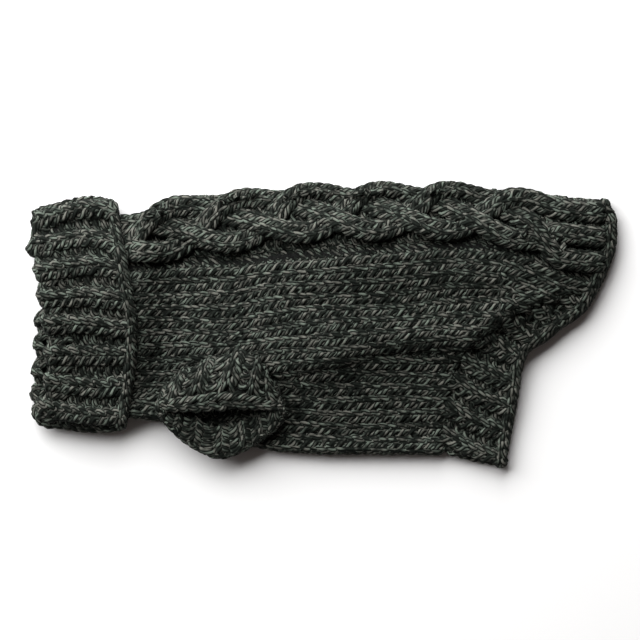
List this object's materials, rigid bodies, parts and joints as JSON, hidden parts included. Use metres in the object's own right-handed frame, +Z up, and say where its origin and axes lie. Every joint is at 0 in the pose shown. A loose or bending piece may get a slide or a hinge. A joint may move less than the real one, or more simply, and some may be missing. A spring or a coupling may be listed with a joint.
{
  "type": "dog sweater",
  "caption": "Charcoal hand-knitted dog sweater lying flat on its side, with a plaited cable along the spine, folded ribbed collar, ribbed hem and leg cuffs.",
  "frame": {"origin": "on the table, under the middle of the garment's bounding box", "axes": "+X from the neck to the tail along the garment, +Y from the belly to the spine, +Z up off the table; the dog's left side is uppermost"},
  "size_m": [0.3244, 0.1572, 0.031],
  "materials": {
    "charcoal_stocking_stitch": "matt bulky wool knit, charcoal heather",
    "charcoal_rib": "matt bulky wool rib, charcoal heather"
  },
  "bodies": {
    "root": {"back": "charcoal_stocking_stitch", "belly": "charcoal_stocking_stitch", "collar": "charcoal_rib", "back_rib": "charcoal_rib", "belly_rib": "charcoal_rib", "left_leg_cuff": "charcoal_rib", "right_leg_cuff": "charcoal_rib"}
  },
  "joints": []
}
